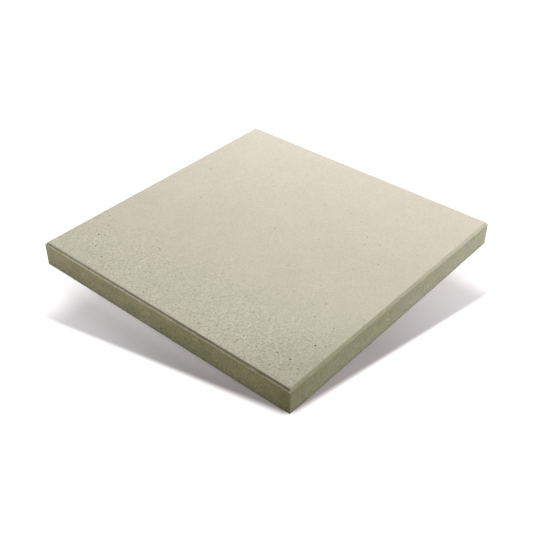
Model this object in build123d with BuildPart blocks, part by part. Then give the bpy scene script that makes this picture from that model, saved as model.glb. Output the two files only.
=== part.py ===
from build123d import *
import math
import os

# Square concrete paving slab, lying on its bed face with its wearing face up.
# Millimetres, +Z up, origin at the bottom centre.

# Overall size of the slab
slab_length = 450.0
slab_width = 450.0
slab_thickness = 38.0

# The press shoe leaves a raised face with a steep arris, and a narrow flat ledge at its foot
arris_drop = 3.5
arris_run = 2.1
ledge_width = 1.0

# Plan rounding of the four upright corners, and of the raised face's own corners
corner_radius = 1.0
face_corner_radius = 2.0

# Small roundings along the edges, left by the mould and by handling
face_edge_radius = 0.5
ledge_edge_radius = 0.3
bed_edge_radius = 0.6

# Levels and outlines that follow from the sizes above
ledge_height = slab_thickness - arris_drop
foot_length = slab_length - 2 * ledge_width
foot_width = slab_width - 2 * ledge_width
foot_corner_radius = face_corner_radius + arris_run
arris_slope = math.degrees(math.atan2(arris_run, arris_drop))

os.makedirs("parts", exist_ok=True)

with BuildPart() as paving_slab:
    # Body of the slab, from the bed face up to the ledge
    with BuildSketch(Plane.XY) as body_outline:
        RectangleRounded(slab_length, slab_width, corner_radius)
    extrude(amount=ledge_height)
    bed_edges = paving_slab.faces().sort_by(Axis.Z)[0].edges()
    fillet(bed_edges, radius=bed_edge_radius)
    ledge_edges = paving_slab.faces().sort_by(Axis.Z)[-1].edges()
    fillet(ledge_edges, radius=ledge_edge_radius)

    # Raised wearing face, which the arris draws in on all four sides
    with BuildSketch(Plane.XY.offset(ledge_height)) as arris_foot:
        RectangleRounded(foot_length, foot_width, foot_corner_radius)
    extrude(amount=arris_drop, taper=arris_slope)
    face_edges = paving_slab.faces().sort_by(Axis.Z)[-1].edges()
    fillet(face_edges, radius=face_edge_radius)

paving_slab.part.label = "paving_slab"
export_step(paving_slab.part, "parts/paving_slab.step")
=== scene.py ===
"""Looks of a square pressed concrete paving slab that lies on a pale studio floor.

The slab is one casting. It is modelled again here around its solid, with the relief that the press
and the mould leave: a sandy wearing face with open pores, a steep arris above a narrow ledge, and
smoother, darker sides. All lengths are in metres.
"""

from __future__ import annotations

import logging
import math
import random
from dataclasses import dataclass, field
from enum import Enum
from typing import Callable, Iterable

import bmesh
import bpy
from mathutils import Euler, Matrix, Vector


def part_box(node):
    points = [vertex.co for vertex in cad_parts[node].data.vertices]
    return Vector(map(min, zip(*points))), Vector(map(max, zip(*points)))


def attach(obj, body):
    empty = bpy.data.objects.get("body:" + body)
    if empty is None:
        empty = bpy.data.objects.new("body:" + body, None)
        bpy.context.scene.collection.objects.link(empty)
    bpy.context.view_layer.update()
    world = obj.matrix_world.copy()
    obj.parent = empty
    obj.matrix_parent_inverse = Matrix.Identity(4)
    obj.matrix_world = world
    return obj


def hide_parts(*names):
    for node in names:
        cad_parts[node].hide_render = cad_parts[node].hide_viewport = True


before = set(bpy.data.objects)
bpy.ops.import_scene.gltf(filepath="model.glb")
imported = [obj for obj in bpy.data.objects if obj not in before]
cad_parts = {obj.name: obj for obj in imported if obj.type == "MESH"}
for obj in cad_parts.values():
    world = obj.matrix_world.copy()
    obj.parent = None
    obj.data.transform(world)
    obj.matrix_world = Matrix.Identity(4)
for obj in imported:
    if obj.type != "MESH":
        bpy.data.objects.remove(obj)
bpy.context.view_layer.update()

MM = 0.001
NODE = "paving_slab"
BODY = "root"
UP = Vector((0.0, 0.0, 1.0))
NEAR = 0.01 * MM
FUSED = 0.001 * MM

log = logging.getLogger("slab")

Colour = tuple[float, float, float]
Range = tuple[float, float]
Object = bpy.types.Object
Node = bpy.types.Node
Socket = bpy.types.NodeSocket
Tree = bpy.types.NodeTree

WHITE: Colour = (1.0, 1.0, 1.0)
NOISE_MIDDLE = 0.5


class Zone(Enum):
    """The parts of the casting that have a finish of their own, by material slot.

    The end at low X faces away from the lamps. Its side and arris have copies of the flank's finishes that
    paint in light and shade there: the side lighter and yellower, the arris darker. The other three sides
    share the flank's.
    """

    FACE = 0
    END_ARRIS = 1
    FLANK_ARRIS = 2
    END = 3
    FLANK = 4
    BED = 5


class Edge(Enum):
    """The long edges that run round the slab."""

    FACE_RIM = "face rim"
    LEDGE_RIM = "ledge rim"
    BED_RIM = "bed rim"


def from_screen(red: int, green: int, blue: int) -> Colour:
    """Turns a screen colour into the linear one that shaders use, by the standard screen curve.

    Args:
        red: Red, 0 to 255.
        green: Green, 0 to 255.
        blue: Blue, 0 to 255.

    Returns:
        The linear colour.
    """
    def linear(level: int) -> float:
        """Gives one channel's linear value."""
        share = level / 255
        return share / 12.92 if share <= 0.04045 else ((share + 0.055) / 1.055) ** 2.4

    return linear(red), linear(green), linear(blue)


def add_primitive(operator: Callable[..., object], **settings: object) -> Object:
    """Adds a primitive, as the only selected object.

    Args:
        operator: What adds it.
        settings: The operator's settings.

    Returns:
        The new object.
    """
    bpy.ops.object.select_all(action="DESELECT")
    operator(**settings)
    return bpy.context.active_object


def put_in_scene(name: str, data: bpy.types.ID) -> Object:
    """Makes an object and puts it in the scene.

    Args:
        name: The object's name.
        data: Its mesh, lamp or camera.

    Returns:
        The new object.
    """
    made = bpy.data.objects.new(name, data)
    bpy.context.collection.objects.link(made)
    return made


def select_only(piece: Object) -> None:
    """Makes a piece the only selected one, and the active one.

    Args:
        piece: The piece to work on.
    """
    bpy.ops.object.select_all(action="DESELECT")
    piece.select_set(True)
    bpy.context.view_layer.objects.active = piece


def select_parts(piece: Object, kind: str, wanted: Callable[..., bool]) -> None:
    """Selects corners or edges of the piece in edit mode, and nothing else.

    Args:
        piece: The piece, in edit mode.
        kind: VERT for corners, or EDGE for edges.
        wanted: Says whether one is selected.
    """
    bpy.ops.mesh.select_mode(type=kind)
    bpy.ops.mesh.select_all(action="DESELECT")
    mesh = bmesh.from_edit_mesh(piece.data)
    for part in filter(wanted, mesh.verts if kind == "VERT" else mesh.edges):
        part.select_set(True)
    bmesh.update_edit_mesh(piece.data)


def select_open_rim() -> None:
    """Selects the open rim of the mesh that is being edited, and nothing else."""
    bpy.ops.mesh.select_mode(type="EDGE")
    bpy.ops.mesh.select_all(action="DESELECT")
    bpy.ops.mesh.select_non_manifold(extend=False, use_wire=False, use_boundary=True,
                                     use_multi_face=False, use_non_contiguous=False, use_verts=False)


def merge_doubles(within: float) -> None:
    """Merges corners that coincide, all over the mesh that is being edited, and drops what has no size.

    Args:
        within: How near counts as one.
    """
    bpy.ops.mesh.select_all(action="SELECT")
    bpy.ops.mesh.remove_doubles(threshold=within)
    bpy.ops.mesh.dissolve_degenerate(threshold=within)


def face_outwards(piece: Object) -> None:
    """Makes all faces of a closed mesh point outwards.

    Args:
        piece: The piece, in edit mode.
    """
    bpy.ops.mesh.select_all(action="SELECT")
    bpy.ops.mesh.normals_make_consistent(inside=False)
    if bmesh.from_edit_mesh(piece.data).calc_volume(signed=True) < 0:
        bpy.ops.mesh.flip_normals()


def apply_modifiers(piece: Object) -> None:
    """Applies all modifiers of a piece, in order.

    Args:
        piece: The piece that has them.
    """
    select_only(piece)
    for modifier in list(piece.modifiers):
        bpy.ops.object.modifier_apply(modifier=modifier.name)


class NodeSheet:
    """A node tree that is being filled, with short ways to add what the finishes need."""

    COLUMNS = 12
    COLUMN_WIDTH = 180
    ROW_HEIGHT = 220

    def __init__(self, tree: Tree) -> None:
        """Starts on a tree, and empties it."""
        self.tree = tree
        self.tree.nodes.clear()

    def feed(self, socket: Socket, value: object) -> None:
        """Links an output to an input, or sets the input to a plain value.

        Args:
            socket: The input.
            value: An output socket, a number or a colour.
        """
        if isinstance(value, Socket):
            self.tree.links.new(value, socket)
        elif isinstance(value, tuple) and socket.type == "RGBA":
            socket.default_value = (*value, 1.0)
        else:
            socket.default_value = value

    def add(self, kind: str, given: dict[str | int, object] | None = None, **settings: object) -> Node:
        """Adds a node.

        Args:
            kind: The node's type, without its ShaderNode or Node prefix.
            given: What feeds its inputs, by name or number.
            settings: Properties of the node.

        Returns:
            The new node.
        """
        prefix = "Node" if kind in ("GroupInput", "GroupOutput") else "ShaderNode"
        node = self.tree.nodes.new(prefix + kind)
        row, column = divmod(len(self.tree.nodes), self.COLUMNS)
        node.location = (self.COLUMN_WIDTH * column, -self.ROW_HEIGHT * row)
        for name, value in settings.items():
            setattr(node, name, value)
        for name, value in (given or {}).items():
            self.feed(node.inputs[name], value)
        return node

    def math(self, operation: str, *values: object, clamp: bool = False) -> Socket:
        """Adds a Math node, and gives its result."""
        given = dict(enumerate(values))
        return self.add("Math", given, operation=operation, use_clamp=clamp).outputs[0]

    def remap(self, value: object, low: object, high: object, start: object = 0.0,
              end: object = 1.0) -> Socket:
        """Eases from start, where the value is low, to end, where it is high, and stays between them."""
        given = dict(enumerate((value, low, high, start, end)))
        return self.add("MapRange", given, interpolation_type="SMOOTHSTEP").outputs[0]

    def mix(self, share: object, first: object, second: object, blend: str = "MIX") -> Socket:
        """Adds a colour Mix node.

        Args:
            share: How much of the second colour.
            first: The first colour.
            second: The second colour.
            blend: How they are mixed.

        Returns:
            The mixed colour.
        """
        node = self.add("Mix", data_type="RGBA", blend_type=blend)
        sockets = {socket.identifier: socket for socket in node.inputs}
        for name, value in (("Factor_Float", share), ("A_Color", first), ("B_Color", second)):
            self.feed(sockets[name], value)
        return next(socket for socket in node.outputs if socket.identifier == "Result_Color")

    def cover(self, mask: Socket, share: object, first: object, second: object,
              blend: str = "MIX") -> Socket:
        """Mixes the second colour over the first where a mask says, as strongly as the share."""
        return self.mix(self.math("MULTIPLY", mask, share), first, second, blend)

    def scale(self, vector: Socket, factor: object) -> Socket:
        """Multiplies a colour by a factor."""
        return self.add("VectorMath", {0: vector, "Scale": factor}, operation="SCALE").outputs[0]

    def noise(self, place: Socket, scale: object, detail: float = 2.0,
              roughness: float = 0.5, distortion: float = 0.0) -> Socket:
        """Adds a Noise Texture.

        Args:
            place: Where it is read.
            scale: Features to the metre.
            detail: Number of finer layers.
            roughness: How strong they are.
            distortion: How far it is warped.

        Returns:
            Its value, about NOISE_MIDDLE on the whole.
        """
        return self.add("TexNoise", {
            "Vector": place,
            "Scale": scale,
            "Detail": detail,
            "Roughness": roughness,
            "Distortion": distortion,
        }).outputs["Fac"]

    def cells(self, place: Socket, size: Socket) -> tuple[Socket, ...]:
        """Adds a Voronoi Texture of cells.

        Args:
            place: Where it is read.
            size: How wide a cell is.

        Returns:
            The distance to the cell's middle in cell widths, and two random values of the cell.
        """
        given = {"Vector": place, "Scale": self.math("DIVIDE", 1.0, size)}
        node = self.add("TexVoronoi", given, feature="F1")
        apart = self.add("SeparateColor", {0: node.outputs["Color"]})
        return node.outputs["Distance"], apart.outputs[0], apart.outputs[1]

    def group(self, tree: Tree, **values: object) -> Node:
        """Places a node group. Its inputs' names are written with underscores for their spaces."""
        given = {name.replace("_", " "): value for name, value in values.items()}
        return self.add("Group", given, node_tree=tree)

    def mask(self, tree: Tree, **values: object) -> Socket:
        """Places a node group that puts out a mask, and gives the mask."""
        return self.group(tree, **values).outputs["Mask"]

    def place(self) -> tuple[Socket, ...]:
        """Gives the place on the object: as a whole, and its X, Y and Z."""
        whole = self.add("TexCoord").outputs["Object"]
        return whole, *self.add("SeparateXYZ", {0: whole}).outputs

    def seen(self) -> Socket:
        """Gives 1 to what the camera sees, by itself or in something glossy, and else 0."""
        path = self.add("LightPath")
        return self.math("MAXIMUM", path.outputs["Is Camera Ray"], path.outputs["Is Glossy Ray"])


class EffectGroup:
    """A shader node group that is being made, with its named inputs and outputs."""

    def __init__(self, name: str, inputs: dict[str, float], outputs: Iterable[str]) -> None:
        """Starts a group that reads a place and some numbers, and puts out values.

        Args:
            name: The group's name.
            inputs: Each number's name and usual value.
            outputs: The names of the values.
        """
        self.tree = bpy.data.node_groups.new(name, "ShaderNodeTree")
        self.tree.interface.new_socket(name="Place", in_out="INPUT", socket_type="NodeSocketVector")
        for label, usual in inputs.items():
            socket = self.tree.interface.new_socket(name=label, in_out="INPUT", socket_type="NodeSocketFloat")
            socket.default_value = usual
        for label in outputs:
            self.tree.interface.new_socket(name=label, in_out="OUTPUT", socket_type="NodeSocketFloat")
        self.sheet = NodeSheet(self.tree)
        self.given = {socket.name: socket for socket in self.sheet.add("GroupInput").outputs}

    def put_out(self, **values: Socket) -> Tree:
        """Links the group's outputs, and gives the finished group."""
        self.sheet.add("GroupOutput", values)
        return self.tree


def make_sand_grain() -> Tree:
    """Makes the sand grain: single grains, and the cloudier cement skin between them.

    Returns:
        The group, which gives a tone about 1, and a height from 0 to about 1.
    """
    skin_width = 2.0
    skin_swing = 3.0
    grain_rise = 0.4
    group = EffectGroup("sand_grain", {"Grain Size": 1.2 * MM, "Contrast": 0.1}, ("Tone", "Height"))
    sheet = group.sheet
    place, size = group.given["Place"], group.given["Grain Size"]
    away, shade, _ = sheet.cells(place, size)
    skin = sheet.noise(place, sheet.math("DIVIDE", 1.0 / skin_width, size), detail=3.0, roughness=0.65)
    single = sheet.math("SUBTRACT", shade, NOISE_MIDDLE)
    cloudy = sheet.math("MULTIPLY_ADD", skin, skin_swing, -skin_swing * NOISE_MIDDLE)
    both = sheet.math("ADD", single, cloudy)
    tone = sheet.math("MULTIPLY_ADD", both, group.given["Contrast"], 1.0)
    bulge = sheet.math("SUBTRACT", 1.0, away, clamp=True)
    return group.put_out(Tone=tone, Height=sheet.math("MULTIPLY_ADD", bulge, grain_rise, skin))


def make_pinholes() -> Tree:
    """Makes the pinholes: small round pores of uneven size, strewn over the surface.

    Returns:
        The group, which gives a mask that is 1 inside a pinhole.
    """
    smallest = 0.4
    wall_from = 0.6
    group = EffectGroup("pinholes", {"Spacing": 6 * MM, "Radius": 0.5 * MM, "Share": 0.5}, ("Mask",))
    sheet = group.sheet
    distance, chance, size = sheet.cells(group.given["Place"], group.given["Spacing"])
    there = sheet.math("LESS_THAN", chance, group.given["Share"])
    uneven = sheet.math("MULTIPLY_ADD", size, 1.0 - smallest, smallest)
    reach = sheet.math("MULTIPLY", group.given["Radius"], uneven)
    away = sheet.math("MULTIPLY", distance, group.given["Spacing"])
    hole = sheet.remap(away, sheet.math("MULTIPLY", reach, wall_from), reach, 1.0, 0.0)
    return group.put_out(Mask=sheet.math("MULTIPLY", hole, there))


def make_flecks() -> Tree:
    """Makes the flecks: tiny ragged dark spots where the cement skin is open between the grains.

    Returns:
        The group, which gives a mask that is 1 inside a fleck.
    """
    softness = 0.07
    group = EffectGroup("open_flecks", {"Size": 1.5 * MM, "Level": 0.65}, ("Mask",))
    sheet = group.sheet
    cloud = sheet.noise(group.given["Place"], sheet.math("DIVIDE", 1.0, group.given["Size"]), detail=1.0)
    level = group.given["Level"]
    return group.put_out(Mask=sheet.remap(cloud, level, sheet.math("ADD", level, softness)))


def make_blotches() -> Tree:
    """Makes the cloudy blotches that uneven curing leaves.

    Returns:
        The group, which gives a mask from 0 to 1.
    """
    group = EffectGroup("curing_blotches", {"Size": 60 * MM, "Softness": 0.2}, ("Mask",))
    sheet = group.sheet
    scale = sheet.math("DIVIDE", 1.0, group.given["Size"])
    cloud = sheet.noise(group.given["Place"], scale, detail=3.0, distortion=0.5)
    low, high = (sheet.math(way, NOISE_MIDDLE, group.given["Softness"]) for way in ("SUBTRACT", "ADD"))
    return group.put_out(Mask=sheet.remap(cloud, low, high))


def make_ledge_highlight() -> Tree:
    """Makes the painted highlight along an edge: a pale line of uneven width that breaks off here and there.

    Returns:
        The group, which gives a mask that is 1 on the edge, from the distance to it.
    """
    cloud_range = (0.3, 0.65)
    width_range = (0.25, 1.6)
    fading_range = (0.4, 1.1)
    group = EffectGroup("ledge_highlight", {"Distance": 0.0, "Reach": 1 * MM, "Wander": 12 * MM}, ("Mask",))
    sheet = group.sheet
    scale = sheet.math("DIVIDE", 1.0, group.given["Wander"])
    cloud = sheet.noise(group.given["Place"], scale, detail=4.0, roughness=0.7)
    width = sheet.math("MULTIPLY", group.given["Reach"], sheet.remap(cloud, *cloud_range, *width_range))
    near = sheet.math("DIVIDE", group.given["Distance"], width)
    return group.put_out(Mask=sheet.remap(near, *fading_range, 1.0, 0.0))


@dataclass
class ConcreteEffects:
    """The effects that every finish of the casting draws on, each a node group made once."""

    grain: Tree = field(default_factory=make_sand_grain)
    pinholes: Tree = field(default_factory=make_pinholes)
    flecks: Tree = field(default_factory=make_flecks)
    blotches: Tree = field(default_factory=make_blotches)
    ledge_highlight: Tree = field(default_factory=make_ledge_highlight)


@dataclass(frozen=True)
class Blotch:
    """A layer of curing blotches: the colour that they multiply, how wide they are, and how strong."""

    tint: Colour
    size: float
    share: float


@dataclass(frozen=True)
class Surface:
    """What a finish is made on: the material's sheet, the place that its nodes read, and the slab."""

    sheet: NodeSheet
    place: Socket
    x: Socket
    y: Socket
    z: Socket
    slab: PavingSlab


@dataclass(frozen=True)
class ConcreteFinish:
    """One finish of the casting.

    The pairs grain_contrast, pinhole_share, fleck_level and relief run from the closed to the open part
    of its texture. The other pairs are the two ends of a range.
    """

    name: str
    fair: Colour
    deep: Colour
    blotches: tuple[Blotch, ...]
    fair_at: float
    deep_at: float
    shade_from: float
    shade_share: float
    grain_size: float
    grain_contrast: Range
    pinhole_spacing: float
    pinhole_radius: float
    pinhole_share: Range
    fleck_size: float
    fleck_level: Range
    fleck_share: float
    relief: Range
    roughness: float
    # The dark colour of pores; the painted shade in pores, along the foot and near the front corner is mixed
    # towards it.
    pore: Colour = from_screen(92, 90, 66)
    pit_range: Range = (0.9 * MM, 1.8 * MM)
    pit_share: float = 0.8
    # The pale colour of the painted highlight along the ledge, and how strong and how wide it is.
    rub: Colour = from_screen(246, 241, 208)
    highlight_share: Range = (0.0, 0.0)
    highlight_reach: float = 1.0 * MM
    open_from: float = -60 * MM
    open_to: float = -205 * MM
    open_waver: float = 160 * MM
    waver_scale: float = 14.0
    front_range: Range = (200 * MM, -200 * MM)
    front_share: Range = (0.75, 1.0)
    shade_to: float = -470 * MM
    drift_lean: float = 0.0
    blotch_softness: float = 0.14
    low_tint: Colour = WHITE
    low_range: Range = (3 * MM, 30 * MM)
    low_fading: Range = (-225 * MM, 0.0)
    low_share: Range = (1.0, 0.35)
    pinhole_darkness: float = 0.8
    pinhole_roughness: float = 0.08
    fleck_depth: float = 0.3
    specular: float = 0.15

    def pore_shade(self, on: Surface) -> Socket | None:
        """Gives a mask of painted shade on what lies deep in a pore, or none."""
        return None

    def to_highlit_edge(self, on: Surface) -> Socket | None:
        """Gives the distance to the edge that gets a painted highlight, or none."""
        return None

    def painted_foot_shade(self, on: Surface) -> Socket | None:
        """Gives a mask of painted shade along the foot of the surface, or none."""
        return None

    def material(self, effects: ConcreteEffects, slab: PavingSlab) -> bpy.types.Material:
        """Builds the finish.

        Args:
            effects: The shared effects.
            slab: The slab that wears it.

        Returns:
            The material.
        """
        made = bpy.data.materials.new(self.name)
        made.use_nodes = True
        sheet = NodeSheet(made.node_tree)
        on = Surface(sheet, *sheet.place(), slab)
        place = on.place

        # The tone drifts from one corner of the slab to the other, and blotches break it up. The drift is
        # partly the casting's own change of hue and partly painted light and shade, lighter towards the back
        # and darker towards the front corner.
        across = sheet.math("ADD", on.x, on.y)
        leaning = sheet.math("MULTIPLY_ADD", sheet.math("SUBTRACT", on.x, on.y), self.drift_lean, across)
        colour = sheet.mix(sheet.remap(leaning, self.fair_at, self.deep_at), self.fair, self.deep)
        for blotch in self.blotches:
            cloud = sheet.mask(effects.blotches, Place=place, Size=blotch.size, Softness=self.blotch_softness)
            colour = sheet.cover(cloud, blotch.share, colour, blotch.tint, blend="MULTIPLY")
        # Painted light: the foot of a side is multiplied by a tint, most near the front corner. On the flank
        # this lightens it and turns it bluer; on the end it only cools it a little.
        low = sheet.remap(on.z, *self.low_range, sheet.remap(across, *self.low_fading, *self.low_share), 0.0)
        colour = sheet.mix(low, colour, self.low_tint, blend="MULTIPLY")
        # Painted shade: the colour darkens further near the front corner, mixed towards the pore colour.
        corner = sheet.remap(across, self.shade_from, self.shade_to, 0.0, self.shade_share)
        colour = sheet.mix(corner, colour, self.pore)

        # The texture opens towards one side of the slab, where the mix was less well closed
        cloud = sheet.noise(place, self.waver_scale)
        waver = sheet.math("MULTIPLY_ADD", cloud, self.open_waver, -self.open_waver * NOISE_MIDDLE)
        openness = sheet.remap(sheet.math("ADD", on.x, waver), self.open_from, self.open_to)
        openness = sheet.math("MULTIPLY", openness, sheet.remap(on.y, *self.front_range, *self.front_share))

        def opened(pair: Range) -> Socket:
            """Runs from the first number to the second as the texture opens."""
            return sheet.math("MULTIPLY_ADD", openness, pair[1] - pair[0], pair[0])

        grain = sheet.group(effects.grain, Place=place, Grain_Size=self.grain_size,
                            Contrast=opened(self.grain_contrast))
        colour = sheet.scale(colour, grain.outputs["Tone"])
        # Painted highlight: a pale broken line along the ledge, as if light caught it, strongest at the end
        # away from the front corner.
        to_edge = self.to_highlit_edge(on)
        if to_edge:
            highlit = sheet.mask(effects.ledge_highlight, Place=place, Distance=to_edge, Reach=self.highlight_reach)
            strength = sheet.remap(across, self.fair_at, self.deep_at, *self.highlight_share)
            colour = sheet.cover(highlit, strength, colour, self.rub)
        flecks = sheet.mask(effects.flecks, Place=place, Size=self.fleck_size, Level=opened(self.fleck_level))
        colour = sheet.cover(flecks, self.fleck_share, colour, self.pore)
        # Painted shade: the pinholes are mixed towards the pore colour, as well as dented.
        holes = sheet.mask(effects.pinholes, Place=place, Spacing=self.pinhole_spacing,
                           Radius=self.pinhole_radius, Share=opened(self.pinhole_share))
        colour = sheet.cover(holes, self.pinhole_darkness, colour, self.pore)
        # Painted shade, mixed towards the pore colour: deep in the pores, and along the foot of the sides.
        for dark in (self.pore_shade(on), self.painted_foot_shade(on)):
            if dark:
                colour = sheet.mix(dark, colour, self.pore)

        dents = sheet.math("ADD", holes, sheet.math("MULTIPLY", flecks, self.fleck_depth))
        rise = sheet.math("SUBTRACT", grain.outputs["Height"], dents)
        height = sheet.math("MULTIPLY", rise, opened(self.relief))
        bump = sheet.add("Bump", {"Height": height, "Strength": 1.0, "Distance": 1.0})
        shader = sheet.add("BsdfPrincipled", {
            "Base Color": colour,
            "Roughness": sheet.math("MULTIPLY_ADD", holes, self.pinhole_roughness, self.roughness),
            "Specular IOR Level": self.specular,
            "Normal": bump.outputs["Normal"],
        })
        sheet.add("OutputMaterial", {"Surface": shader.outputs["BSDF"]})
        return made


@dataclass(frozen=True)
class FaceFinish(ConcreteFinish):
    """The sandy wearing face."""

    pit_range: Range = (0.38 * MM, 0.8 * MM)
    pit_share: float = 0.85

    def pore_shade(self, on: Surface) -> Socket | None:
        """Paints shade on what lies below the face, in its pores."""
        depth = on.sheet.math("SUBTRACT", on.slab.thickness, on.z)
        return on.sheet.remap(depth, *self.pit_range, 0.0, self.pit_share)


@dataclass(frozen=True)
class ArrisFinish(ConcreteFinish):
    """The steep arris and the ledge at its foot."""

    def to_highlit_edge(self, on: Surface) -> Socket | None:
        """Paints a pale highlight on the ledge and the arris's foot."""
        return on.sheet.math("SUBTRACT", on.z, on.slab.ledge_height)


@dataclass(frozen=True)
class SideFinish(ConcreteFinish):
    """The sides, smooth from the mould."""

    pit_range: Range = (0.5 * MM, 0.9 * MM)
    clear_of_foot: float = 1.5 * MM
    clear_of_ledge: float = 1.0 * MM
    highlight_reach: float = 0.5 * MM
    foot_share: float = 0.72
    foot_from: float = 0.2 * MM
    foot_height: float = 0.6 * MM
    foot_waver: float = 4.0 * MM
    foot_scale: float = 60.0

    def pore_shade(self, on: Surface) -> Socket | None:
        """Paints shade on what lies inside the side, in its pores, between its rounded rims.

        Args:
            on: What the finish is made on.

        Returns:
            The mask.
        """
        sheet = on.sheet
        to_end = sheet.math("SUBTRACT", on.slab.length / 2, sheet.math("ABSOLUTE", on.x))
        to_flank = sheet.math("SUBTRACT", on.slab.width / 2, sheet.math("ABSOLUTE", on.y))
        shade = sheet.remap(sheet.math("MINIMUM", to_end, to_flank), *self.pit_range, 0.0, self.pit_share)
        below = sheet.math("LESS_THAN", on.z, on.slab.ledge_height - self.clear_of_ledge)
        above = sheet.math("GREATER_THAN", on.z, self.clear_of_foot)
        return sheet.math("MULTIPLY", sheet.math("MULTIPLY", shade, below), above)

    def to_highlit_edge(self, on: Surface) -> Socket | None:
        """Paints a pale highlight on the ledge's outer edge."""
        return on.sheet.math("SUBTRACT", on.slab.ledge_height, on.z)

    def painted_foot_shade(self, on: Surface) -> Socket | None:
        """Paints shade along the foot of the side, unevenly."""
        cloud = on.sheet.noise(on.place, self.foot_scale)
        height = on.sheet.math("MULTIPLY_ADD", cloud, self.foot_waver, self.foot_height)
        return on.sheet.remap(on.z, self.foot_from, height, self.foot_share, 0.0)


@dataclass(frozen=True)
class BedFinish(ConcreteFinish):
    """The rough underside."""

    def pore_shade(self, on: Surface) -> Socket | None:
        """Paints shade on what lies above the bed, in its holes."""
        return on.sheet.remap(on.z, *self.pit_range, 0.0, self.pit_share)


SIDE_TEXTURE = {
    "fair_at": 0.0,
    "deep_at": -440 * MM,
    "shade_from": -375 * MM,
    "grain_size": 1.5 * MM,
    "pinhole_spacing": 9 * MM,
    "pinhole_radius": 0.7 * MM,
    "pinhole_share": (0.15, 0.25),
    "fleck_size": 2.2 * MM,
    "fleck_level": (0.72, 0.68),
    "fleck_share": 0.35,
    "relief": (0.05 * MM, 0.08 * MM),
    "roughness": 0.82,
    "open_from": 400 * MM,
    "open_to": -400 * MM,
}

FINISHES: dict[Zone, ConcreteFinish] = {
    Zone.FACE: FaceFinish(
        name="wearing_face",
        fair=from_screen(217, 209, 193),
        deep=from_screen(213, 210, 187),
        blotches=(
            Blotch((0.95, 0.955, 0.94), 75 * MM, 0.45),
            Blotch((0.96, 0.97, 0.96), 16 * MM, 0.6),
        ),
        fair_at=300 * MM,
        deep_at=-360 * MM,
        drift_lean=0.6,
        shade_from=-250 * MM,
        shade_share=0.23,
        grain_size=1.7 * MM,
        grain_contrast=(0.085, 0.25),
        pinhole_spacing=5.0 * MM,
        pinhole_radius=0.8 * MM,
        pinhole_share=(0.12, 0.5),
        fleck_size=1.8 * MM,
        fleck_level=(0.71, 0.62),
        fleck_share=0.3,
        relief=(0.1 * MM, 0.28 * MM),
        roughness=0.9,
    ),
    # Painted shade: the end's arris is darker than the flank's.
    Zone.END_ARRIS: ArrisFinish(
        name="end_arris",
        fair=from_screen(196, 192, 166),
        deep=from_screen(150, 147, 114),
        blotches=(Blotch((0.85, 0.86, 0.84), 20 * MM, 0.7),),
        grain_contrast=(0.1, 0.13),
        shade_share=0.2,
        highlight_share=(1.0, 0.44),
        **SIDE_TEXTURE,
    ),
    Zone.FLANK_ARRIS: ArrisFinish(
        name="flank_arris",
        fair=from_screen(212, 208, 187),
        deep=from_screen(183, 180, 149),
        blotches=(Blotch((0.9, 0.92, 0.9), 20 * MM, 0.7),),
        grain_contrast=(0.07, 0.1),
        shade_share=0.1,
        **SIDE_TEXTURE,
    ),
    # Painted light and shade: the end's side is lighter and yellower than the flank's.
    Zone.END: SideFinish(
        name="moulded_end",
        fair=from_screen(206, 198, 159),
        deep=from_screen(176, 170, 127),
        blotches=(
            Blotch((0.70, 0.79, 0.73), 34 * MM, 0.5),
            Blotch((0.76, 0.78, 0.72), 6 * MM, 0.45),
        ),
        low_tint=(0.957, 1.0, 1.045),
        grain_contrast=(0.25, 0.32),
        shade_share=0.5,
        highlight_share=(1.0, 0.44),
        **SIDE_TEXTURE,
    ),
    Zone.FLANK: SideFinish(
        name="moulded_flank",
        fair=from_screen(183, 181, 156),
        deep=from_screen(164, 161, 130),
        blotches=(
            Blotch((0.84, 0.88, 0.85), 34 * MM, 0.25),
            Blotch((0.8, 0.81, 0.77), 6 * MM, 0.4),
        ),
        # Painted light: the flank's foot is lightened and turned bluer.
        low_tint=(1.13, 1.135, 1.205),
        grain_contrast=(0.25, 0.32),
        shade_share=0.26,
        **SIDE_TEXTURE,
    ),
    Zone.BED: BedFinish(
        name="bed_face",
        fair=from_screen(196, 191, 168),
        deep=from_screen(182, 179, 150),
        blotches=(
            Blotch((0.75, 0.77, 0.74), 45 * MM, 0.8),
            Blotch((0.8, 0.82, 0.8), 12 * MM, 0.7),
        ),
        fair_at=420 * MM,
        deep_at=-420 * MM,
        shade_from=-340 * MM,
        shade_share=0.1,
        grain_size=2.2 * MM,
        grain_contrast=(0.2, 0.26),
        pinhole_spacing=6 * MM,
        pinhole_radius=1.1 * MM,
        pinhole_share=(0.4, 0.6),
        fleck_size=3 * MM,
        fleck_level=(0.64, 0.6),
        fleck_share=0.5,
        relief=(0.4 * MM, 0.5 * MM),
        roughness=0.95,
    ),
}


@dataclass(frozen=True)
class Pit:
    """One pore or nick that is cut out of the casting: its mouth, the way out, and its size."""

    mouth: Vector
    out: Vector
    radius: float
    depth: float

    # How far a turned and stretched lump may reach, in its own sizes, and the concrete left between two
    REACH = 1.45
    GAP = 0.3 * MM

    def clear_of(self, other: Pit) -> bool:
        """Tells whether two pits stay apart, whatever way they are turned."""
        reach = max(self.radius, self.depth) + max(other.radius, other.depth)
        return (self.mouth - other.mouth).length > self.REACH * reach + self.GAP


@dataclass(frozen=True)
class PoreKind:
    """A kind of pore: how many, the smallest radius and what the largest adds, in millimetres.

    The higher the rarity, the fewer are large. Depths are in radii.
    """

    count: int
    smallest: float
    spread: float
    rarity: float
    depths: Range


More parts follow.
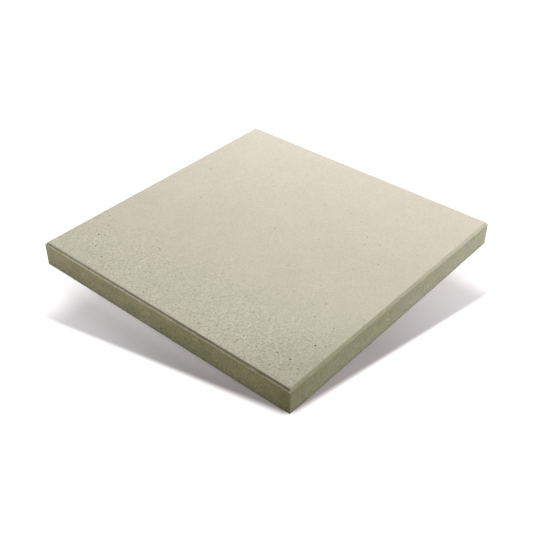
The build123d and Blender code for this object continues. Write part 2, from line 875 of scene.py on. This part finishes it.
@dataclass
class PitStrewer:
    """Strews pores over the faces and nicks along the edges, clear of one another."""

    slab: PavingSlab
    seed: int = 21
    face_pores: PoreKind = PoreKind(760, 0.3, 0.6, 3, (1.1, 1.7))
    bed_holes: PoreKind = PoreKind(90, 0.8, 1.6, 2, (0.6, 0.9))
    side_pores: PoreKind = PoreKind(24, 0.4, 0.8, 2.5, (0.9, 1.3))
    pits: list[Pit] = field(default_factory=list)
    draw: random.Random = field(init=False)

    # Pores that stand out on the wearing face: X, Y and radius, in millimetres
    STANDING_OUT = (
        (-163, 181, 1.2), (-158, 173, 1.1), (-195, 137, 1.1), (-120, 105, 1.0), (-130, 90, 1.0),
        (-154, 101, 1.0), (71, 31, 0.8), (207, -142, 0.9), (37, -162, 0.9), (-146, -199, 1.5),
        (-185, -172, 1.2), (-184, -191, 1.1), (-208, -63, 1.0), (-200, -120, 0.9),
    )
    STANDING_OUT_DEPTH = 1.3
    # The same on the sides: outward X and Y, how far along from -1 to 1, how high, and radius
    STANDING_OUT_ON_SIDES = (
        (-1, 0, -0.18, 9.0, 1.5), (-1, 0, 0.04, 9.5, 1.6),
        (0, -1, -0.09, 13.0, 1.0), (0, -1, 0.44, 20.0, 0.8),
    )
    # Nicks in each edge of a side: how many, and their usual radius
    NICKS = {Edge.BED_RIM: (14, 1.3 * MM), Edge.LEDGE_RIM: (10, 0.8 * MM), Edge.FACE_RIM: (12, 0.7 * MM)}
    NICK_SIZES = (0.6, 1.6)
    NICK_DEPTH = 0.45
    NICK_LEAN = 0.8

    # Where the face's texture begins to open, and over how far, and how likely a pore is there
    OPEN_FROM = -60 * MM
    OPEN_WIDTH = 130 * MM
    CLOSED_CHANCE = 0.14
    OPEN_CHANCE = 0.6
    FRONT_CHANCE = 0.35

    # How far pores keep from the rims, in lengths or in shares of the slab
    FACE_BORDER = 2.5 * MM
    ABOVE_BED = 4 * MM
    BELOW_LEDGE = 3 * MM
    ALONG = 0.95
    NICKS_ALONG = 0.96

    def strew(self) -> list[Pit]:
        """Chooses where the pores and nicks are.

        Returns:
            The pits.
        """
        self.draw = random.Random(self.seed)
        for x, y, radius in self.STANDING_OUT:
            mouth = Vector((x * MM, y * MM, self.slab.thickness))
            self.pits.append(Pit(mouth, UP, radius * MM, self.STANDING_OUT_DEPTH * radius * MM))
        for x, y, share, level, radius in self.STANDING_OUT_ON_SIDES:
            out = Vector((x, y, 0.0))
            self.pits.append(Pit(self.on_side(out, share, level * MM), out, radius * MM, radius * MM))
        self.repeat(self.face_pores.count, self.face_pore)
        self.repeat(self.bed_holes.count, self.bed_hole)
        for turn in range(4):
            out = Matrix.Rotation(turn * math.pi / 2, 3, "Z") @ Vector((0.0, -1.0, 0.0))
            self.repeat(self.side_pores.count, lambda: self.side_pore(out))
            for edge, (count, size) in self.NICKS.items():
                self.repeat(count, lambda: self.nick(out, edge, size))
        return self.pits

    def repeat(self, count: int, offer: Callable[[], Pit | None]) -> None:
        """Adds pits until there are as many as wanted.

        Args:
            count: How many are wanted.
            offer: Offers a pit, or none.
        """
        while count:
            pit = offer()
            if pit and all(pit.clear_of(other) for other in self.pits):
                self.pits.append(pit)
                count -= 1

    def radius(self, kind: PoreKind) -> float:
        """Draws a pore's radius."""
        return (kind.smallest + kind.spread * self.draw.random() ** kind.rarity) * MM

    def face_pore(self) -> Pit | None:
        """Offers a pore in the wearing face, most often where the texture is open.

        Returns:
            The pore, or none where few are.
        """
        reach = self.slab.outline(self.slab.inset + self.FACE_BORDER) / 2
        x, y = self.draw.uniform(-reach.x, reach.x), self.draw.uniform(-reach.y, reach.y)
        openness = min(max((x - self.OPEN_FROM) / -self.OPEN_WIDTH, 0.0), 1.0)
        forward = max(-(x + y) / (reach.x + reach.y), 0.0)
        chance = self.CLOSED_CHANCE + self.OPEN_CHANCE * openness + self.FRONT_CHANCE * forward ** 2
        if self.draw.random() > chance:
            return None
        radius = self.radius(self.face_pores)
        depth = self.draw.uniform(*self.face_pores.depths) * radius
        return Pit(Vector((x, y, self.slab.thickness)), UP, radius, depth)

    def bed_hole(self) -> Pit:
        """Offers a coarse hole in the bed.

        Returns:
            The hole.
        """
        reach = self.ALONG * self.slab.length / 2
        mouth = Vector((self.draw.uniform(-reach, reach), self.draw.uniform(-reach, reach), 0.0))
        radius = self.radius(self.bed_holes)
        return Pit(mouth, -UP, radius, self.draw.uniform(*self.bed_holes.depths) * radius)

    def on_side(self, out: Vector, share: float, level: float, back: float = 0.0) -> Vector:
        """Gives a place on one of the four sides.

        Args:
            out: The side's outward direction.
            share: How far along, from -1 to 1.
            level: How high.
            back: How far in.

        Returns:
            The place.
        """
        along = Vector((-out.y, out.x, 0.0))
        reach = abs(out.x) * self.slab.length / 2 + abs(out.y) * self.slab.width / 2
        return along * share * reach + out * (reach - back) + UP * level

    def side_pore(self, out: Vector) -> Pit:
        """Offers a pore in a side.

        Args:
            out: The side's outward direction.

        Returns:
            The pore.
        """
        level = self.draw.uniform(self.ABOVE_BED, self.slab.ledge_height - self.BELOW_LEDGE)
        radius = self.radius(self.side_pores)
        mouth = self.on_side(out, self.draw.uniform(-self.ALONG, self.ALONG), level)
        return Pit(mouth, out, radius, self.draw.uniform(*self.side_pores.depths) * radius)

    def nick(self, out: Vector, edge: Edge, size: float) -> Pit:
        """Offers a nick in an edge.

        Args:
            out: The outward direction of the side that has the edge.
            edge: Which edge.
            size: Its usual radius.

        Returns:
            The nick.
        """
        back = self.slab.inset if edge is Edge.FACE_RIM else 0.0
        lean = -self.NICK_LEAN if edge is Edge.BED_RIM else self.NICK_LEAN
        radius = self.draw.uniform(*self.NICK_SIZES) * size
        share = self.draw.uniform(-self.NICKS_ALONG, self.NICKS_ALONG)
        mouth = self.on_side(out, share, self.slab.level(edge), back)
        return Pit(mouth, (out + UP * lean).normalized(), radius, self.NICK_DEPTH * radius)


@dataclass
class PoreCutter:
    """Makes the rough lumps that are cut away for the pores and nicks."""

    seed: int = 7
    coarse_from: float = 0.75 * MM
    kinds: int = 5
    roughness: Range = (0.8, 1.15)
    stretching: Range = (0.8, 1.35)
    draw: random.Random = field(init=False)

    def lump(self, fineness: int) -> Object:
        """Makes one rough ball.

        Args:
            fineness: How finely it is divided, 1 or 2.

        Returns:
            The ball.
        """
        ball = add_primitive(bpy.ops.mesh.primitive_ico_sphere_add, subdivisions=fineness, radius=1.0)
        for vertex in ball.data.vertices:
            vertex.co *= self.draw.uniform(*self.roughness)
        return ball

    def placed(self, ball: Object, pit: Pit) -> Object:
        """Copies a ball to a pit, turned and stretched at random.

        Args:
            ball: The ball.
            pit: Where it goes.

        Returns:
            The copy.
        """
        spin = Euler([self.draw.uniform(0, math.tau) for _ in range(3)]).to_matrix()
        stretch = Matrix.Diagonal((pit.radius * self.draw.uniform(*self.stretching), pit.radius, pit.depth))
        twist = Matrix.Rotation(self.draw.uniform(0, math.tau), 3, "Z")
        turn = pit.out.to_track_quat("Z", "Y").to_matrix()
        mesh = ball.data.copy()
        mesh.transform(Matrix.Translation(pit.mouth) @ (turn @ twist @ stretch @ spin).to_4x4())
        return put_in_scene("pore_lump", mesh)

    def cut(self, piece: Object, pits: list[Pit]) -> None:
        """Cuts the pits out of a piece.

        Args:
            piece: The piece.
            pits: The pits.
        """
        self.draw = random.Random(self.seed)
        fine, coarse = ([self.lump(fineness) for _ in range(self.kinds)] for fineness in (1, 2))
        lumps = [self.placed(self.draw.choice(coarse if pit.radius > self.coarse_from else fine), pit)
                 for pit in pits]
        select_only(lumps[0])
        for lump in lumps:
            lump.select_set(True)
        bpy.ops.object.join()
        cut = piece.modifiers.new("pores", "BOOLEAN")
        cut.operation = "DIFFERENCE"
        cut.solver = "MANIFOLD"
        cut.object = lumps[0]
        apply_modifiers(piece)
        for used in (lumps[0], *fine, *coarse):
            bpy.data.objects.remove(used)
        log.info("cut %d pores and nicks", len(pits))


@dataclass(frozen=True)
class Press:
    """A displacement that pushes one part of the surface in: how wide its features are, and how deep."""

    part: str
    name: str
    size: float
    depth: float

    def add_to(self, piece: Object) -> None:
        """Adds the displacement to a piece, whose vertex group says where it acts.

        Args:
            piece: The piece.
        """
        texture = bpy.data.textures.new(self.name, "CLOUDS")
        texture.noise_scale = self.size
        texture.noise_depth = 2
        pressed = piece.modifiers.new(self.name, "DISPLACE")
        pressed.texture = texture
        pressed.texture_coords = "LOCAL"
        pressed.direction = "NORMAL"
        pressed.vertex_group = self.part
        pressed.mid_level = 1.0
        pressed.strength = self.depth


@dataclass
class PavingSlab:
    """The casting: its sizes, and how its mesh is made and dressed."""

    length: float
    width: float
    thickness: float
    arris_drop: float = 3.5 * MM
    arris_run: float = 2.1 * MM
    ledge_width: float = 1.0 * MM
    corner_radius: float = 1.2 * MM
    border: float = 2.6 * MM
    cells: int = 224
    arris_rows: int = 3
    side_rows: int = 6
    bed_step: int = 4
    smooth_angle: float = math.radians(35)
    edge_radius: dict[Edge, float] = field(default_factory=lambda: {
        Edge.FACE_RIM: 0.5 * MM,
        Edge.LEDGE_RIM: 0.3 * MM,
        Edge.BED_RIM: 0.6 * MM,
    })
    presses: tuple[Press, ...] = (
        Press("face", "sag", size=60 * MM, depth=0.2 * MM),
        Press("face", "sand", size=3 * MM, depth=0.12 * MM),
        Press("side", "mould", size=30 * MM, depth=0.3 * MM),
        Press("side", "drag", size=5 * MM, depth=0.14 * MM),
        Press("bed", "bedding", size=14 * MM, depth=0.9 * MM),
        Press("rim", "rub", size=9 * MM, depth=0.3 * MM),
        Press("rim", "crumb", size=3 * MM, depth=0.25 * MM),
    )
    piece: Object | None = None

    @property
    def ledge_height(self) -> float:
        """How high the ledge lies."""
        return self.thickness - self.arris_drop

    @property
    def inset(self) -> float:
        """How far the wearing face's rim stands in from the sides."""
        return self.arris_run + self.ledge_width

    def level(self, edge: Edge) -> float:
        """Gives how high an edge lies."""
        return {Edge.FACE_RIM: self.thickness, Edge.LEDGE_RIM: self.ledge_height, Edge.BED_RIM: 0.0}[edge]

    def outline(self, inset: float) -> Vector:
        """Gives the length and width of the outline that lies that far in from the sides."""
        return Vector((self.length - 2 * inset, self.width - 2 * inset, 1.0))

    def insets(self, place: Vector) -> Range:
        """Gives how far in a place lies from the nearer end, and from the nearer flank."""
        return self.length / 2 - abs(place.x), self.width / 2 - abs(place.y)

    def cast(self) -> None:
        """Models the slab from a grid for its face, whose rim is drawn out over the arris and down."""
        self.piece = add_primitive(bpy.ops.mesh.primitive_grid_add, x_subdivisions=self.cells,
                                   y_subdivisions=self.cells, size=1.0, location=UP * self.thickness)
        self.piece.name = "pressed_slab"
        self.piece.scale = self.outline(self.inset + self.border)
        bpy.ops.object.transform_apply(location=True, rotation=True, scale=True)
        bpy.ops.object.mode_set(mode="EDIT")
        for axis in "xy":
            for way in (-1, 1):
                self.draw_border(axis, way)
        self.round_corners()
        self.draw_rim(self.inset, self.ledge_width, self.arris_drop, self.arris_rows)
        self.draw_rim(self.ledge_width, 0.0, 0.0, 1)
        self.draw_rim(0.0, 0.0, self.ledge_height, self.side_rows)
        self.close_bed()
        for edge in Edge:
            self.round_edge(edge)
        merge_doubles(NEAR)
        face_outwards(self.piece)
        bpy.ops.object.mode_set(mode="OBJECT")

    def draw_border(self, axis: str, way: int) -> None:
        """Draws one side of the grid out by a cell that is wide enough for the rounded corners.

        Args:
            axis: The axis along which it goes, x or y.
            way: Its direction, -1 or 1.
        """
        edge_at = getattr(self.outline(self.inset + self.border), axis) / 2 - NEAR
        select_parts(self.piece, "EDGE",
                     lambda edge: all(way * getattr(v.co, axis) > edge_at for v in edge.verts))
        step = {"x": 0.0, "y": 0.0, "z": 0.0, axis: way * self.border}
        bpy.ops.mesh.extrude_edges_move(TRANSFORM_OT_translate={"value": tuple(step.values())})

    def draw_rim(self, start: float, end: float, drop: float, rows: int) -> None:
        """Draws the open rim out and down, in equal rows.

        Args:
            start: How far in from the sides the rim is.
            end: How far in from the sides it ends.
            drop: How far it goes down.
            rows: Number of rows.
        """
        for row in range(rows):
            before = self.outline(start + (end - start) * row / rows)
            after = self.outline(start + (end - start) * (row + 1) / rows)
            select_open_rim()
            bpy.ops.mesh.extrude_edges_move(TRANSFORM_OT_translate={"value": (0.0, 0.0, -drop / rows)})
            bpy.ops.transform.resize(value=(after.x / before.x, after.y / before.y, 1.0),
                                     center_override=(0.0, 0.0, 0.0))

    def round_corners(self) -> None:
        """Rounds the four corners of the wearing face, and so of all that is drawn down from it."""
        rim = self.outline(self.inset) / 2 - Vector((NEAR, NEAR, 0.0))
        select_parts(self.piece, "VERT", lambda v: abs(v.co.x) > rim.x and abs(v.co.y) > rim.y)
        bpy.ops.mesh.bevel(offset=self.corner_radius, segments=4, affect="VERTICES", clamp_overlap=False)

    def close_bed(self) -> None:
        """Fills the bed and cuts it to squares, each a few cells of the wearing face wide."""
        reach = self.outline(self.inset + self.border).x * self.length / self.outline(self.inset).x
        select_open_rim()
        bpy.ops.mesh.edge_face_add()
        bpy.ops.mesh.hide(unselected=True)
        bpy.ops.mesh.select_mode(type="FACE")
        for cell in range(0, self.cells + 1, self.bed_step):
            share = cell / self.cells - 0.5
            for along in (Vector((1.0, 0.0, 0.0)), Vector((0.0, 1.0, 0.0))):
                bpy.ops.mesh.select_all(action="SELECT")
                bpy.ops.mesh.bisect(plane_co=along * share * reach, plane_no=along, threshold=NEAR)
        bpy.ops.mesh.reveal()

    def round_edge(self, edge: Edge) -> None:
        """Rounds one of the long edges.

        Args:
            edge: Which edge.
        """
        level = self.level(edge)
        most_of_steep = 0.7
        least_of_flat = 0.99

        def between(side: bmesh.types.BMEdge) -> bool:
            """Says whether an edge of the mesh lies on that level, between a flat and a falling face.

            Args:
                side: The edge of the mesh.

            Returns:
                Whether it does.
            """
            if len(side.link_faces) != 2 or any(abs(v.co.z - level) > NEAR for v in side.verts):
                return False
            steep, flat = sorted(side.link_faces, key=lambda face: abs(face.normal.z))
            falls = edge is Edge.BED_RIM or steep.calc_center_median().z < level
            return abs(steep.normal.z) < most_of_steep and abs(flat.normal.z) > least_of_flat and falls

        select_parts(self.piece, "EDGE", between)
        bpy.ops.mesh.bevel(offset=self.edge_radius[edge], segments=2, affect="EDGES", clamp_overlap=True)

    def part_of(self, place: Vector) -> str:
        """Tells which part of the surface a place before roughening belongs to.

        Args:
            place: The place.

        Returns:
            The name of the part's vertex group.
        """
        flat = 0.05 * MM
        bed_rim, face_rim, ledge_rim = 1.0 * MM, 0.8 * MM, 0.5 * MM
        inside = min(self.insets(place))
        if place.z < flat and inside > bed_rim:
            return "bed"
        if place.z > self.thickness - flat and inside > self.inset + face_rim:
            return "face"
        if place.z > self.ledge_height - ledge_rim or place.z < bed_rim:
            return "rim"
        return "side"

    def roughen(self) -> None:
        """Gives the surface its slight unevenness, always inwards, so that the slab keeps its size."""
        members: dict[str, list[int]] = {name: [] for name in ("face", "side", "bed", "rim")}
        for vertex in self.piece.data.vertices:
            members[self.part_of(vertex.co)].append(vertex.index)
        for name, indices in members.items():
            self.piece.vertex_groups.new(name=name).add(indices, 1.0, "REPLACE")
        for press in self.presses:
            press.add_to(self.piece)
        apply_modifiers(self.piece)

    def clean(self) -> None:
        """Closes the mesh up: no doubles, no face of more than four corners, all normals outwards."""
        select_only(self.piece)
        bpy.ops.object.mode_set(mode="EDIT")
        bpy.ops.mesh.select_mode(type="FACE")
        merge_doubles(FUSED)
        bpy.ops.mesh.select_face_by_sides(number=4, type="GREATER", extend=False)
        bpy.ops.mesh.quads_convert_to_tris(quad_method="BEAUTY", ngon_method="BEAUTY")
        face_outwards(self.piece)
        bpy.ops.mesh.select_mode(type="EDGE")
        bpy.ops.mesh.select_all(action="DESELECT")
        bpy.ops.mesh.select_non_manifold()
        bpy.ops.object.mode_set(mode="OBJECT")
        open_edges = sum(edge.select for edge in self.piece.data.edges)
        triangles = sum(len(face.vertices) - 2 for face in self.piece.data.polygons)
        log.info("mesh has %d triangles and %d open edges", triangles, open_edges)
        bpy.ops.object.shade_smooth_by_angle(angle=self.smooth_angle)

    def zone_of(self, centre: Vector, normal: Vector) -> Zone:
        """Tells which zone a face belongs to.

        Args:
            centre: The face's centre.
            normal: Its normal.

        Returns:
            The zone.
        """
        face_above, face_rim = 0.5 * MM, 0.3 * MM
        bed_below, bed_rim, deep_inside = 4.0 * MM, 0.8 * MM, 3.0 * MM
        downwards = -0.5
        arris_below_ledge = 1.0 * MM
        to_end, to_flank = self.insets(centre)
        inside = min(to_end, to_flank)
        if centre.z > self.ledge_height + face_above and inside > self.inset + face_rim:
            return Zone.FACE
        if centre.z < bed_below and inside > bed_rim and (normal.z < downwards or inside > deep_inside):
            return Zone.BED
        on_arris = centre.z > self.ledge_height - arris_below_ledge
        if to_end < to_flank and centre.x < 0.0:
            return Zone.END_ARRIS if on_arris else Zone.END
        return Zone.FLANK_ARRIS if on_arris else Zone.FLANK

    def dress(self, effects: ConcreteEffects) -> None:
        """Gives each zone its finish.

        Args:
            effects: The shared effects.
        """
        self.piece.data.materials.clear()
        for zone in Zone:
            self.piece.data.materials.append(FINISHES[zone].material(effects, self))
        for face in self.piece.data.polygons:
            face.material_index = self.zone_of(face.center, face.normal).value

    def unfold(self) -> None:
        """Lays the surface out on a map: the face as a square, the sides beside it, the bed above."""
        gutter = 0.006
        square = 0.735
        strip = (1.0 - square) / 4
        spare = 1 * MM
        foot = 1.5 * MM
        layer = self.piece.data.uv_layers.new(name="OFBake")
        mesh = self.piece.data
        for face in mesh.polygons:
            zone = Zone(face.material_index)
            to_end, to_flank = self.insets(face.center)
            ends = to_end < to_flank
            far = (face.center.x if ends else face.center.y) > 0
            left = square + strip * (2 * ends + far) + gutter
            for loop in face.loop_indices:
                place = mesh.vertices[mesh.loops[loop].vertex_index].co
                across, up = place.x / self.length + 0.5, place.y / self.width + 0.5
                if zone is Zone.FACE:
                    u = gutter + (square - 2 * gutter) * across
                    v = gutter + (square - 2 * gutter) * up
                elif zone is Zone.BED:
                    u = gutter + (1 - 2 * gutter) * across
                    v = square + gutter + (1 - square - 2 * gutter) * up
                else:
                    back = self.insets(place)[0 if ends else 1]
                    on_arris = zone in (Zone.END_ARRIS, Zone.FLANK_ARRIS)
                    rise = place.z + (back if on_arris else -back if face.center.z < foot else 0.0)
                    share = (rise + spare) / (self.thickness + self.inset + 2 * spare)
                    u = left + (strip - 2 * gutter) * min(max(share, 0.0), 1.0)
                    v = gutter + (square - 2 * gutter) * (up if ends else across)
                layer.data[loop].uv = (u, v)

    def build(self, effects: ConcreteEffects) -> Object:
        """Makes the whole piece and hangs it on the solid that it stands for.

        Args:
            effects: The shared effects.

        Returns:
            The finished piece.
        """
        self.cast()
        self.roughen()
        PoreCutter().cut(self.piece, PitStrewer(self).strew())
        self.clean()
        self.dress(effects)
        self.unfold()
        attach(self.piece, BODY)
        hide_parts(NODE)
        return self.piece


@dataclass(frozen=True)
class Softbox:
    """A square area lamp that hangs around the slab and faces its middle. Angles are in degrees."""

    name: str
    azimuth: float
    height_angle: float
    power: float
    distance: float = 1.3
    size: float = 0.8

    def hang(self) -> Object:
        """Hangs the lamp.

        Returns:
            The lamp.
        """
        lamp = bpy.data.lights.new(self.name, "AREA")
        lamp.shape = "SQUARE"
        lamp.size = self.size
        lamp.energy = self.power
        hung = put_in_scene(self.name, lamp)
        level, turn = math.radians(self.height_angle), math.radians(self.azimuth)
        way = Vector((math.cos(level) * math.cos(turn), math.cos(level) * math.sin(turn), math.sin(level)))
        face_in = way.to_track_quat("Z", "Y").to_matrix().to_4x4()
        hung.matrix_world = Matrix.Translation(way * self.distance) @ face_in
        return hung


@dataclass(frozen=True)
class ShadowBand:
    """The painted shadow beside one side: how far it reaches and how pale it is at that side's middle.

    It grows longer and paler along the side, away from the slab's front corner, by so much a metre.
    The pair of darkness runs from the foot of the slab to the shadow's edge.
    """

    reach: float
    growth: float
    paleness: float
    fading: float
    darkness: Range


@dataclass
class Studio:
    """A pale floor, a white surround and soft lamps behind the slab and to its right."""

    slab: PavingSlab
    floor_size: float = 30.0
    floor_colour: Colour = (0.8, 0.8, 0.8)
    seen_floor_colour: Colour = (1.0, 0.93, 0.965)
    shaded_floor_colour: Colour = (0.5, 0.465, 0.48)
    shade_range: Range = (0.0, 38 * MM)
    end_shadow: ShadowBand = ShadowBand(50.5 * MM, 0.215, paleness=0.17, fading=1.15, darkness=(0.0, 1.0))
    flank_shadow: ShadowBand = ShadowBand(42.5 * MM, 0.184, paleness=0.1, fading=1.5, darkness=(0.5, 1.0))
    shadow_softness: float = 6.5 * MM
    shadow_start: Range = (-230 * MM, -214 * MM)
    shadow_end: Range = (98 * MM, 185 * MM)
    under_rim: float = 6 * MM
    lift: float = 0.75
    sky: float = 0.37
    lamps: tuple[Softbox, ...] = (
        Softbox("key_softbox", azimuth=30, height_angle=45, power=11.0),
        Softbox("fill_softbox", azimuth=-45, height_angle=25, power=6.3),
    )

    def shadow_beside(self, sheet: NodeSheet, past: Socket, along: Socket,
                      band: ShadowBand) -> tuple[Socket, ...]:
        """Gives where the painted shadow beside one side lies.

        Args:
            sheet: The floor's sheet.
            past: How far the place lies out from that side.
            along: How far along the side it lies, from the side's middle.
            band: The shadow's measures.

        Returns:
            A mask that is 1 in the shadow, and how pale and how dark the shadow is there.
        """
        edge = sheet.math("MULTIPLY_ADD", along, band.growth, band.reach)
        beyond = sheet.math("SUBTRACT", past, edge)
        near = sheet.remap(beyond, -self.shadow_softness, self.shadow_softness, 1.0, 0.0)
        starting = sheet.remap(along, *self.shadow_start)
        ending = sheet.remap(along, *self.shadow_end, 1.0, 0.0)
        outside = sheet.math("GREATER_THAN", past, -self.under_rim)
        lengthwise = sheet.math("MULTIPLY", sheet.math("MULTIPLY", starting, ending), outside)
        mask = sheet.math("MULTIPLY", near, lengthwise)
        pale = sheet.math("MAXIMUM", sheet.math("MULTIPLY_ADD", along, band.fading, band.paleness), 0.0)
        dark = sheet.remap(past, *self.shade_range, *band.darkness)
        return mask, sheet.math("MULTIPLY", pale, mask), sheet.math("MULTIPLY", dark, mask)

    def floor(self) -> Object:
        """Lays the floor, which the camera sees as white away from the slab's shadow, with a shadow painted
        into its colour and glow beside the slab.

        Returns:
            The floor.
        """
        ground = add_primitive(bpy.ops.mesh.primitive_plane_add, size=self.floor_size)
        ground.name = "studio_floor"
        made = bpy.data.materials.new("pale_floor")
        made.use_nodes = True
        sheet = NodeSheet(made.node_tree)
        _, x, y, _ = sheet.place()

        # A painted shadow lies along the two sides that face away from the key lamp, and is short at the
        # corners: there the camera sees a darker floor colour and less glow
        past_end = sheet.math("SUBTRACT", -self.slab.length / 2, x)
        past_flank = sheet.math("SUBTRACT", -self.slab.width / 2, y)
        beside_end = self.shadow_beside(sheet, past_end, y, self.end_shadow)
        beside_flank = self.shadow_beside(sheet, past_flank, x, self.flank_shadow)
        mask, pale, dark = (sheet.math("MAXIMUM", *pair) for pair in zip(beside_end, beside_flank))
        lift = sheet.math("MULTIPLY_ADD", mask, -self.lift, sheet.math("ADD", pale, self.lift))
        seen = sheet.seen()
        tone = sheet.mix(dark, self.seen_floor_colour, self.shaded_floor_colour)
        matt = sheet.add("BsdfDiffuse", {"Color": sheet.mix(seen, self.floor_colour, tone)})
        glow = sheet.add("Emission", {"Color": WHITE, "Strength": sheet.math("MULTIPLY", seen, lift)})
        both = sheet.add("AddShader", {0: matt.outputs[0], 1: glow.outputs[0]})
        sheet.add("OutputMaterial", {"Surface": both.outputs[0]})
        ground.data.materials.append(made)
        return ground

    def surround(self) -> None:
        """Makes the world white to the camera, and a soft even sky to everything else."""
        world = bpy.data.worlds.new("studio_surround")
        bpy.context.scene.world = world
        world.use_nodes = True
        sheet = NodeSheet(world.node_tree)
        strength = sheet.math("MULTIPLY_ADD", sheet.seen(), 1.0 - self.sky, self.sky)
        glow = sheet.add("Background", {"Color": WHITE, "Strength": strength})
        sheet.add("OutputWorld", {"Surface": glow.outputs[0]})

    def build(self) -> None:
        """Sets up the whole studio."""
        self.floor()
        self.surround()
        for lamp in self.lamps:
            lamp.hang()
            log.info("hung %s", lamp.name)


@dataclass(frozen=True)
class ViewPoint:
    """The photograph's view of the slab. Angles are in degrees."""

    place: Vector = field(default_factory=lambda: Vector((-764.8, -663.3, 740.6)) * MM)
    azimuth: float = 48.796
    fall: float = 37.068
    roll: float = -0.449
    focal_pixels: float = 863.15
    frame_pixels: float = 533.0
    sensor: float = 36.0
    clip_start: float = 0.05

    def build(self) -> Object:
        """Sets the camera up.

        Returns:
            The camera.
        """
        data = bpy.data.cameras.new("photo_view")
        data.sensor_width = self.sensor
        data.lens = self.sensor * self.focal_pixels / self.frame_pixels
        data.clip_start = self.clip_start
        camera = put_in_scene("photo_view", data)
        turned = Euler((math.radians(90 - self.fall), 0.0, math.radians(-self.azimuth))).to_matrix()
        rolled = turned @ Matrix.Rotation(math.radians(self.roll), 3, "Z")
        camera.matrix_world = Matrix.Translation(self.place) @ rolled.to_4x4()
        bpy.context.scene.camera = camera
        return camera


def main() -> None:
    """Builds the camera, the slab and the studio, and notes the sizes."""
    logging.basicConfig(level=logging.INFO, format="%(name)s: %(message)s")
    bpy.context.scene.view_settings.view_transform = "Standard"
    ViewPoint().build()
    low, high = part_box(NODE)
    slab = PavingSlab(length=high.x - low.x, width=high.y - low.y, thickness=high.z - low.z)
    piece = slab.build(ConcreteEffects())
    log.info("%s stands for %s", piece.name, NODE)
    Studio(slab).build()


if __name__ == "__main__":
    main()
